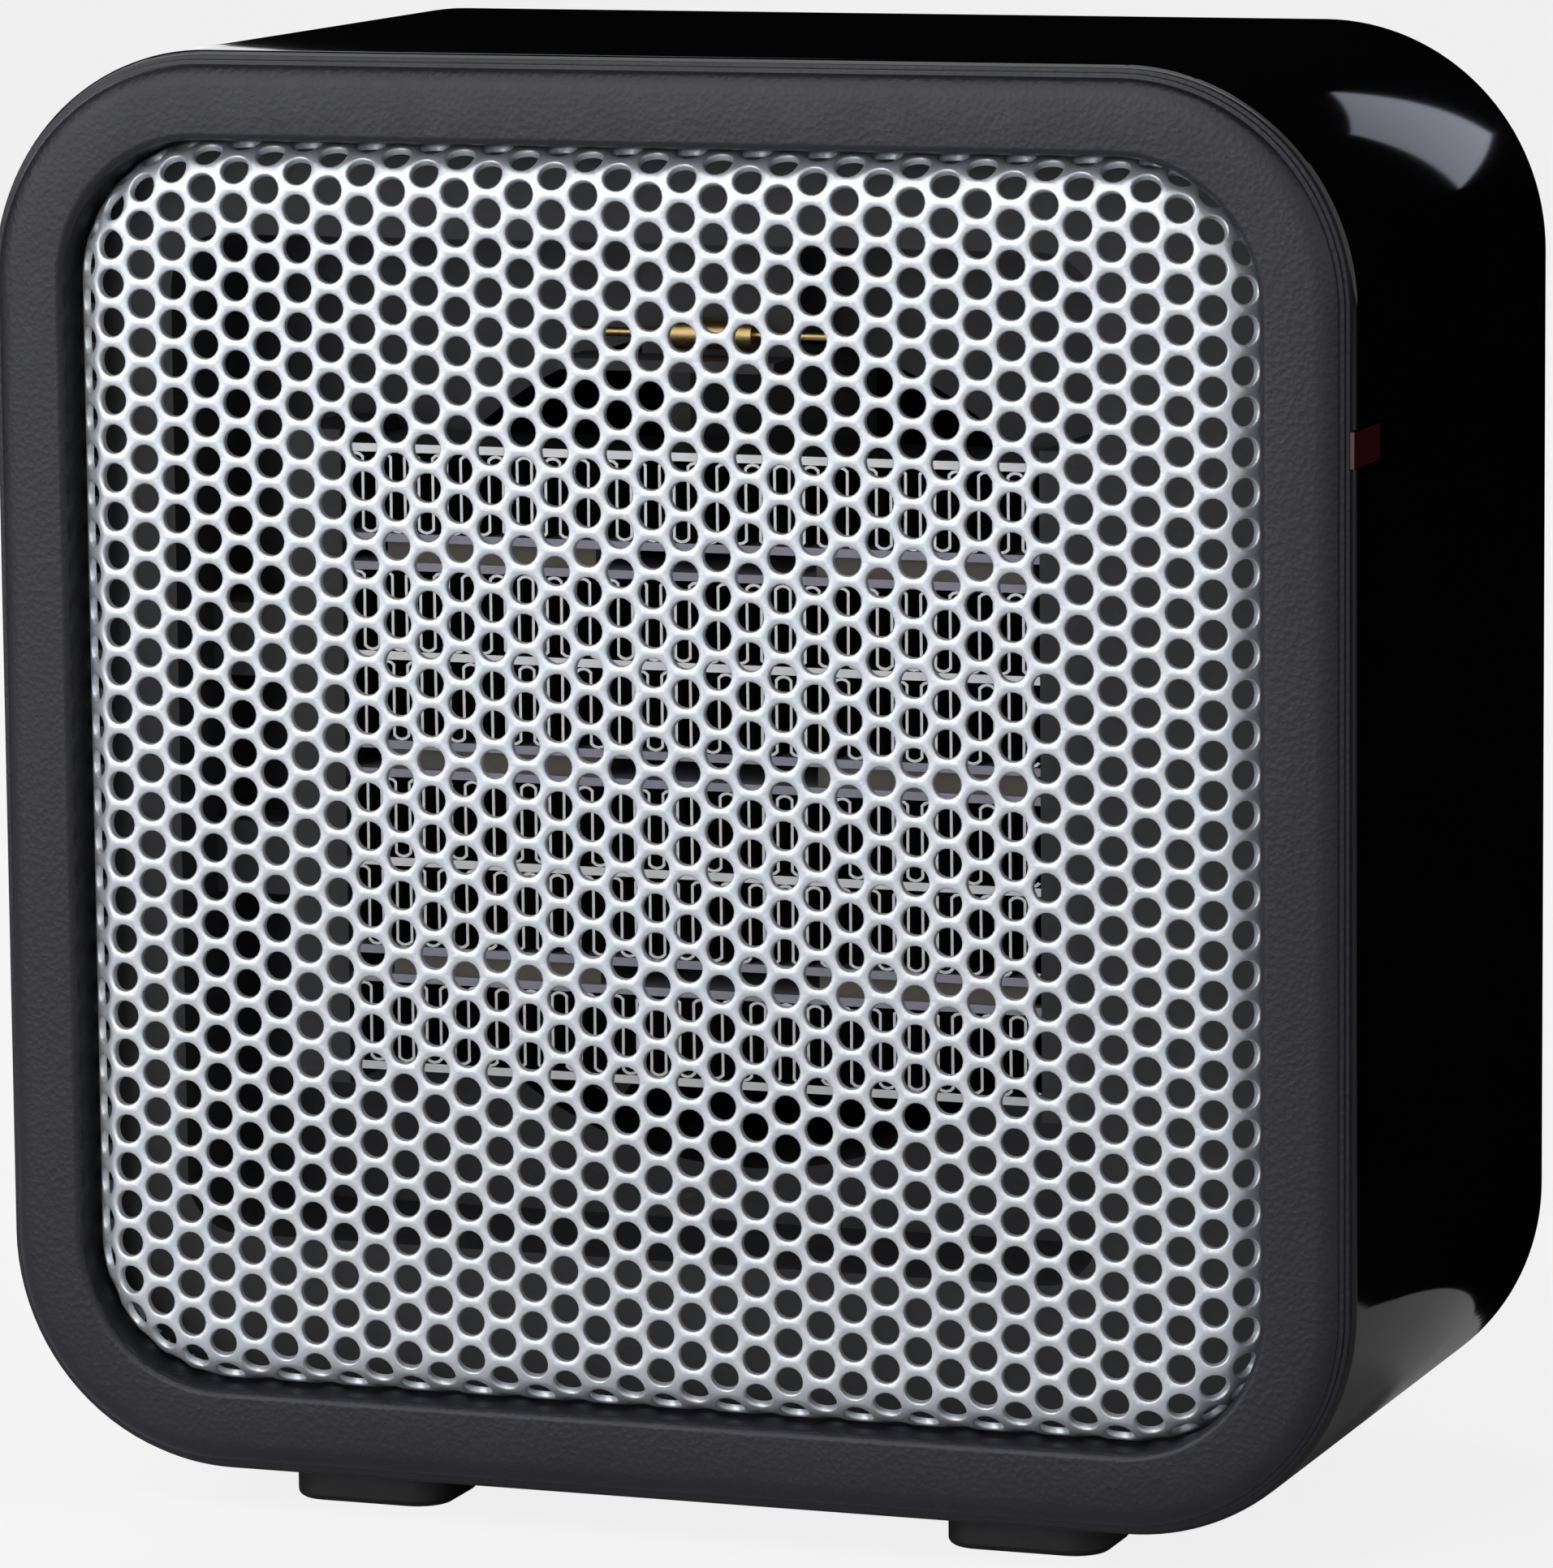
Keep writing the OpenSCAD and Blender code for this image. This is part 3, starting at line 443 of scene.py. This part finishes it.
# %% Sleeve
SOFT_EDGE = 0.35 * MM
sleeve = rounded_plate("sleeve_shell", BODY_W, BODY_H, CORNER_R, FRONT_Y, segments=32)
bpy.ops.object.mode_set(mode="EDIT")
push(FRONT_Y - sleeve_high.y)
bpy.ops.object.mode_set(mode="OBJECT")
pick(sleeve, "FACE", lambda f: abs(f.normal.y) > 0.9)
bpy.ops.mesh.delete(type="FACE")
bpy.ops.object.mode_set(mode="OBJECT")
finish_mesh(sleeve)
modifier(sleeve, "SOLIDIFY", thickness=WALL, offset=-1)
modifier(sleeve, "BEVEL", width=SOFT_EDGE, segments=3, limit_method="ANGLE",
         angle_limit=math.radians(60))
lens_low, lens_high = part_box("indicator_lens")
LENS_GAP = 0.12 * MM
LENS_END_Y = FRONT_Y + 8.5 * MM
CUT_THROUGH = 8 * MM
deselect()
bpy.ops.mesh.primitive_cube_add(size=1, location=(
    BODY_W / 2, (lens_low.y + LENS_END_Y) / 2, (lens_low.z + lens_high.z) / 2))
cutter = bpy.context.object
cutter.scale = (CUT_THROUGH, LENS_END_Y - lens_low.y + 2 * LENS_GAP,
                lens_high.z - lens_low.z + 2 * LENS_GAP)
bpy.ops.object.transform_apply(location=True, rotation=True, scale=True)
modifier(sleeve, "BOOLEAN", operation="DIFFERENCE", solver="EXACT", object=cutter)
bpy.data.objects.remove(cutter)
activate(sleeve)
bpy.ops.object.shade_smooth_by_angle(angle=math.radians(30))
dress(sleeve, gloss, "gloss_case", "heater_body", "outer_sleeve")

# %% [markdown]
# ## Bezel
# The bezel could be a swept section, but a stack of insets is closer to how it is drawn: each
# inset of a face with round corners is one ring of the section, and its corners stay concentric.

# %% Bezel
RIM_IN = 0.5 * MM
FLANK_T = RISE - 0.4 * MM
RIM_POINTS = ((0.5, 1.0), (0.62, 1.06), (0.9, 1.06), (0.95, 1.5), (1.4, 1.6))
FLANK_U, FLANK_REACH, FLANK_START = 4.2, 2.8, 1.75
FLANK_STEPS, LIP_STEPS = 9, 6
LIP_R = 0.9 * MM
SEAT_T = 4 * MM
SEAT_OVERLAP = 0.02


def bezel_rings():
    """The section in mm as (inset, height in front of the sleeve), from the rim to the seat."""
    yield from RIM_POINTS
    for k in range(FLANK_STEPS + 1):
        a = math.radians(90 * k / FLANK_STEPS)
        yield (FLANK_U - FLANK_REACH * math.cos(a),
               FLANK_START + (FLANK_T / MM - FLANK_START) * math.sin(a))
    for k in range(LIP_STEPS + 1):
        a = math.radians(90 * k / LIP_STEPS)
        yield ((BEZEL_W - LIP_R + LIP_R * math.sin(a)) / MM,
               (RISE - LIP_R + LIP_R * math.cos(a)) / MM)
    yield BEZEL_W / MM + SEAT_OVERLAP, -SEAT_T / MM


bezel = rounded_plate("bezel_moulding", BODY_W - 2 * RIM_IN, BODY_H - 2 * RIM_IN, CORNER_R - RIM_IN,
                      FRONT_Y, segments=24)
bpy.ops.object.mode_set(mode="EDIT")
at_u, at_t = RIM_IN, 0.0
for u, t in bezel_rings():
    u, t = u * MM, t * MM
    if u - at_u < 1e-6:
        push(t - at_t)
    else:
        inset(u - at_u, t - at_t)
    at_u, at_t = u, t
bpy.ops.mesh.delete(type="FACE")
bpy.ops.object.mode_set(mode="OBJECT")


def open_rim(a, b):
    """True for an edge that lies along the rim or along the seat, the two open ends."""
    level = abs(a.y - b.y) < 1e-6
    return level and min(abs(a.y - FRONT_Y), abs(a.y - FRONT_Y - SEAT_T)) < 1e-6


pick(bezel, "EDGE", open_rim)
bpy.ops.mesh.bridge_edge_loops()
bpy.ops.object.mode_set(mode="OBJECT")
finish_mesh(bezel, 40)
dress(bezel, grain, "grained_bezel", "heater_body", "front_bezel")

# %% [markdown]
# ## Grille
# The real sheet is punched flat and then drawn over a tool. It is made the same way: one hexagonal
# cell with a punched hole and a rounded rim is modelled once, repeated in columns and rows, and
# the flat sheet is then wrapped down its rolled edge. Holes that reach the edge wrap with it.

# %% One punched cell
SIDES = 18
deselect()
bpy.ops.mesh.primitive_circle_add(vertices=SIDES, radius=HOLE_R, location=(0, 0, 0),
                                  rotation=(math.pi / 2, math.pi / SIDES, 0))
cell = bpy.context.object
cell.name = "grille_sheet"
bpy.ops.object.transform_apply(location=True, rotation=True, scale=True)
bpy.ops.object.mode_set(mode="EDIT")
bpy.ops.mesh.select_all(action="SELECT")
bpy.ops.transform.translate(value=(0, SHEET, 0))
PUNCHED_RIM = ((0, 0.22 * MM), (0.07 * MM, 0.06 * MM), (0.2 * MM, 0))
for widening, depth in PUNCHED_RIM:
    bpy.ops.mesh.extrude_edges_move()
    bpy.ops.object.mode_set(mode="OBJECT")
    for v in cell.data.vertices:
        if v.select:
            around = Vector((v.co.x, 0, v.co.z)).normalized()
            v.co = around * (HOLE_R + widening) + Vector((0, depth, 0))
    bpy.ops.object.mode_set(mode="EDIT")
bpy.ops.mesh.extrude_edges_move()
bpy.ops.object.mode_set(mode="OBJECT")


def onto_hexagon(co):
    """Moves a point of the ring out to the hexagon whose flats look up and down."""
    angle = math.atan2(co.z, co.x)
    sector = math.radians(60)
    off = (angle - math.radians(90)) % sector
    off = min(off, sector - off)
    reach = PITCH / 2 / math.cos(off)
    return Vector((math.cos(angle) * reach, 0, math.sin(angle) * reach))


for v in cell.data.vertices:
    if v.select:
        v.co = onto_hexagon(v.co)
print("cell faces", len(cell.data.polygons))

# %% [markdown]
# ## Repeating the cell
# Neighbouring columns stand half a pitch apart in height, so two cells are joined into one unit,
# and two Array modifiers repeat it upwards and sideways with their shared points merged.

# %% Repeat the cell
SKIRT = 1.0 * MM
STEP_X = PITCH * math.sqrt(3) / 2
face_x = BODY_W / 2 - GRILLE_INSET - ROLL_R
face_z = BODY_H / 2 - GRILLE_INSET - ROLL_R
face_r = CORNER_R - GRILLE_INSET - ROLL_R
SHEET_END = ROLL_R * math.pi / 2 + SKIRT
cols = math.ceil((face_x + SHEET_END) / STEP_X)
rows = math.ceil((face_z + SHEET_END) / PITCH)
unit = cell.copy()
unit.data = cell.data.copy()
bpy.context.scene.collection.objects.link(unit)
unit.data.transform(Matrix.Translation((STEP_X, 0, PITCH / 2)))
activate(cell)
unit.select_set(True)
bpy.ops.object.join()
cols += cols % 2
cell.data.transform(Matrix.Translation((-cols * STEP_X, 0, -rows * PITCH)))
modifier(cell, "ARRAY", count=2 * rows + 1, use_relative_offset=False, use_constant_offset=True,
         constant_offset_displace=(0, 0, PITCH), use_merge_vertices=True, merge_threshold=1e-5)
modifier(cell, "ARRAY", count=cols + 1, use_relative_offset=False, use_constant_offset=True,
         constant_offset_displace=(2 * STEP_X, 0, 0), use_merge_vertices=True, merge_threshold=1e-5)
print("sheet faces", len(cell.data.polygons))


def beyond(x, z):
    """How far a point of the flat sheet lies outside the flat face, and its foot on the edge."""
    core_x, core_z = face_x - face_r, face_z - face_r
    qx = np.clip(x, -core_x, core_x)
    qz = np.clip(z, -core_z, core_z)
    dx, dz = x - qx, z - qz
    reach = np.hypot(dx, dz)
    safe = np.maximum(reach, 1e-9)
    return reach - face_r, qx, qz, dx / safe, dz / safe


# %% [markdown]
# ## Drawing the edge
# Cells beyond the skirt are deleted. Each point past the flat face then keeps its distance along
# the sheet while it bends round the roll, which is what the press does to the punched blank.

# %% Trim and wrap the sheet
def trimmed(face):
    return beyond(face.center.x, face.center.z)[0] > SHEET_END


activate(cell)
pick(cell, "FACE", trimmed)
bpy.ops.mesh.delete(type="FACE")
bpy.ops.object.mode_set(mode="OBJECT")
co = np.zeros(len(cell.data.vertices) * 3)
cell.data.vertices.foreach_get("co", co)
co = co.reshape(-1, 3)
d, qx, qz, nx, nz = beyond(co[:, 0], co[:, 2])
d = np.minimum(d, SHEET_END)
bend = np.clip(d / ROLL_R, 0, math.pi / 2)
straight = np.maximum(d - ROLL_R * math.pi / 2, 0)
depth = co[:, 1]
rolled = d > 0
out = np.where(rolled, face_r + (ROLL_R - depth) * np.sin(bend), d + face_r)
back = np.where(rolled, ROLL_R - (ROLL_R - depth) * np.cos(bend) + straight, depth)
inside = (d + face_r) <= 0
co[:, 0] = np.where(inside, co[:, 0], qx + nx * out)
co[:, 2] = np.where(inside, co[:, 2], qz + nz * out) + MID_Z
co[:, 1] = GRILLE_Y + back
cell.data.vertices.foreach_set("co", co.ravel())
cell.data.update()
finish_mesh(cell, 50)
normal_y = sum(f.normal.y * f.area for f in cell.data.polygons)
if normal_y > 0:
    cell.data.flip_normals()
dress(cell, paint, "grille_paint", "heater_body", "front_grille")

# %% [markdown]
# ## Feet
# Each foot is a rubber pad with round corners and a soft lower edge, pushed into the sleeve by a
# peg. The pad is a face with round corners that is extruded and bevelled.

# %% Feet
FOOT_CORNER, FOOT_EDGE, FOOT_GAP = 4 * MM, 0.7 * MM, 0.01 * MM


def rubber_foot(name, node):
    low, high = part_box(node)
    deselect()
    middle = ((low.x + high.x) / 2, (low.y + high.y) / 2, 0)
    bpy.ops.mesh.primitive_plane_add(size=1, location=middle)
    ob = bpy.context.object
    ob.name = name
    ob.scale = (high.x - low.x, high.y - low.y, 1)
    bpy.ops.object.transform_apply(location=True, rotation=True, scale=True)
    bpy.ops.object.mode_set(mode="EDIT")
    bpy.ops.mesh.select_all(action="SELECT")
    bpy.ops.mesh.bevel(offset=FOOT_CORNER, segments=8, affect="VERTICES")
    bpy.ops.mesh.select_mode(type="FACE")
    bpy.ops.mesh.select_all(action="SELECT")
    bpy.ops.mesh.extrude_region_move(
        TRANSFORM_OT_translate={"value": (0, 0, sleeve_low.z - FOOT_GAP)})
    bpy.ops.object.mode_set(mode="OBJECT")
    finish_mesh(ob)
    modifier(ob, "BEVEL", width=FOOT_EDGE, segments=4, limit_method="ANGLE",
             angle_limit=math.radians(60))
    activate(ob)
    bpy.ops.object.shade_smooth_by_angle(angle=math.radians(40))
    dress(ob, rubber, "rubber", "heater_body", node)


for end in ("front", "rear"):
    for hand in ("left", "right"):
        rubber_foot(f"{end}_{hand}_pad", f"foot_{end}_{hand}")

# %% [markdown]
# ## Stage and light
# A pale floor carries the shadow. A large soft panel stands in front and to the left, since that
# is where the front face mirrors the camera. A small one behind gives the top corner its soft
# patch, and a weak one lights the back. The gloss sides would mirror a white room, so black flags
# stand around the heater, and only reflections see them.

# %% Stage
def stage_plane(name, size, location, rotation, colour, seen=True):
    deselect()
    bpy.ops.mesh.primitive_plane_add(size=1, location=location, rotation=rotation)
    ob = bpy.context.object
    ob.name = name
    ob.scale = (*size, 1)
    mat = bpy.data.materials.new(name)
    mat.use_nodes = True
    bsdf = mat.node_tree.nodes["Principled BSDF"]
    bsdf.inputs["Base Color"].default_value = (*colour, 1)
    bsdf.inputs["Roughness"].default_value = 0.9
    bsdf.inputs["Specular IOR Level"].default_value = 0.0
    ob.data.materials.append(mat)
    ob.visible_camera = seen
    ob.visible_shadow = seen
    ob.visible_diffuse = seen
    ob.visible_transmission = seen
    return ob


FLOOR_GLOW = 0.85
floor = stage_plane("floor", (6, 6), (0, 0, 0), (0, 0, 0), (0.9, 0.9, 0.9))
tree = floor.data.materials[0].node_tree
bsdf = tree.nodes["Principled BSDF"]
path = tree.nodes.new("ShaderNodeLightPath")
glow = tree.nodes.new("ShaderNodeEmission")
glow.inputs["Strength"].default_value = 1.0
mix = tree.nodes.new("ShaderNodeMixShader")
share = tree.nodes.new("ShaderNodeMath")
share.operation = "MULTIPLY"
share.inputs[1].default_value = FLOOR_GLOW
tree.links.new(path.outputs["Is Camera Ray"], share.inputs[0])
tree.links.new(share.outputs[0], mix.inputs[0])
tree.links.new(bsdf.outputs[0], mix.inputs[1])
tree.links.new(glow.outputs[0], mix.inputs[2])
tree.links.new(mix.outputs[0], tree.nodes["Material Output"].inputs["Surface"])

BLACK = (0.002, 0.002, 0.0025)
stage_plane("flag_behind", (5, 2.4), (0, 1.3, 1.2), (math.pi / 2, 0, 0), BLACK, seen=False)
stage_plane("flag_low", (5, 1.22), (0, 0.69, 0.0005), (0, 0, 0), BLACK, seen=False)

stage_plane("flag_left", (2.6, 3), (-1.7, 0.2, 1.3), (0, math.pi / 2, 0), BLACK, seen=False)
stage_plane("flag_top", (4, 3), (0, 0.4, 2.0), (0, 0, 0), BLACK, seen=False)

ROOM_LIGHT, ROOM_SEEN = 0.12, 1.0
world = bpy.data.worlds.new("studio")
bpy.context.scene.world = world
world.use_nodes = True
wt = world.node_tree
background = wt.nodes["Background"]
wpath = wt.nodes.new("ShaderNodeLightPath")
seen_ray = wt.nodes.new("ShaderNodeMath")
seen_ray.operation = "MAXIMUM"
wt.links.new(wpath.outputs["Is Camera Ray"], seen_ray.inputs[0])
glossy_too = wt.nodes.new("ShaderNodeMath")
glossy_too.operation = "MAXIMUM"
wt.links.new(wpath.outputs["Is Transmission Ray"], glossy_too.inputs[0])
wt.links.new(wpath.outputs["Is Glossy Ray"], glossy_too.inputs[1])
wt.links.new(glossy_too.outputs[0], seen_ray.inputs[1])
level = wt.nodes.new("ShaderNodeMapRange")
wt.links.new(seen_ray.outputs[0], level.inputs["Value"])
level.inputs["To Min"].default_value = ROOM_LIGHT
level.inputs["To Max"].default_value = ROOM_SEEN
wt.links.new(level.outputs["Result"], background.inputs["Strength"])
background.inputs["Color"].default_value = (1, 1, 1, 1)


def panel(name, target, azimuth, elevation, distance, size, watts, colour=(1, 1, 1)):
    """A soft rectangular light that looks at a target from an azimuth and an elevation."""
    a, e = math.radians(azimuth), math.radians(elevation)
    offset = Vector((math.sin(a) * math.cos(e), -math.cos(a) * math.cos(e), math.sin(e)))
    light = bpy.data.lights.new(name, "AREA")
    light.shape = "RECTANGLE"
    light.size, light.size_y = size
    light.energy = watts
    light.color = colour
    ob = bpy.data.objects.new(name, light)
    bpy.context.scene.collection.objects.link(ob)
    ob.location = Vector(target) + offset * distance
    ob.rotation_euler = (Vector(target) - ob.location).to_track_quat("-Z", "Y").to_euler()
    return ob


MIDDLE = (0, 0, MID_Z)
TOP_CORNER = (BODY_W / 2, 0, sleeve_high.z)
panel("front_panel", MIDDLE, -32, 8, 1.3, (1.3, 1.3), 10.5, (0.97, 0.98, 1.0))
panel("key_above", MIDDLE, -10, 55, 1.3, (0.9, 0.6), 3)
panel("rear_fill", MIDDLE, 225, 25, 1.3, (0.8, 0.8), 4)
panel("corner_strip", TOP_CORNER, 174, 12.5, 1.115, (0.215, 0.30), 0.15, (0.80, 0.83, 1.0))
bpy.context.scene.view_settings.view_transform = "Standard"
print("stage and lights set")
